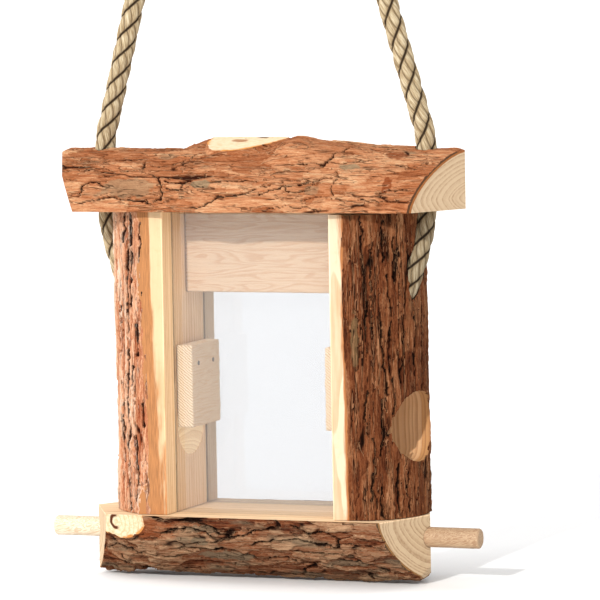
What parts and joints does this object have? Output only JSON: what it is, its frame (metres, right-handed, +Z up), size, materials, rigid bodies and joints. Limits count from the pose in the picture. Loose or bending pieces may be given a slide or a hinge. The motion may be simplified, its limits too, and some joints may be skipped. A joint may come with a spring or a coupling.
{
  "type": "hanging bird feeder",
  "caption": "Hanging bird feeder of bark-covered log slabs with clear panes, side feed ports, dowel perches and a rope that the roof slides up.",
  "frame": {"origin": "under the rope at the top of its loop, where the hook or branch carries it", "axes": "+Z up, +X along the roof and base towards the right-hand perch, +Y towards the rear pane"},
  "size_m": [0.2899, 0.102, 0.6103],
  "materials": {
    "roof_bark": "reddish brown flaky bark, pale sawn ends and underside",
    "base_bark": "grey-brown plated bark, pale sawn ends and top",
    "post_left_bark": "reddish brown furrowed bark, pale sawn inner face",
    "post_right_bark": "dark brown furrowed bark, pale sawn inner face",
    "sawn_wood": "pale softwood, rough sawn",
    "dowel_wood": "plain turned dowel",
    "clear_sheet": "clear and polished",
    "plaited_rope": "plaited beige natural-look rope",
    "zinc_steel": "zinc-plated"
  },
  "bodies": {
    "feeder": {"base_log": "base_bark", "post_left": "post_left_bark", "post_right": "post_right_bark", "front_pane": "clear_sheet", "rear_pane": "clear_sheet", "tie_board": "sawn_wood", "baffle_left": "sawn_wood", "baffle_right": "sawn_wood", "perch_left": "dowel_wood", "perch_right": "dowel_wood", "post_screw_left_1": "zinc_steel", "post_screw_left_2": "zinc_steel", "tie_nail_left_1": "zinc_steel", "tie_nail_left_2": "zinc_steel", "baffle_brad_left_1": "zinc_steel", "baffle_brad_left_2": "zinc_steel", "post_screw_right_1": "zinc_steel", "post_screw_right_2": "zinc_steel", "tie_nail_right_1": "zinc_steel", "tie_nail_right_2": "zinc_steel", "baffle_brad_right_1": "zinc_steel", "baffle_brad_right_2": "zinc_steel", "rope_upper": "plaited_rope", "rope_lower_left": "plaited_rope", "rope_lower_right": "plaited_rope"},
    "roof": {"roof_log": "roof_bark"}
  },
  "joints": [
    {"name": "roof_lift", "type": "slide", "parent": "feeder", "child": "roof", "axis": [0, 0, 1], "range_m": [0, 0.08], "deforming": ["rope_upper", "rope_lower_left", "rope_lower_right"]}
  ]
}
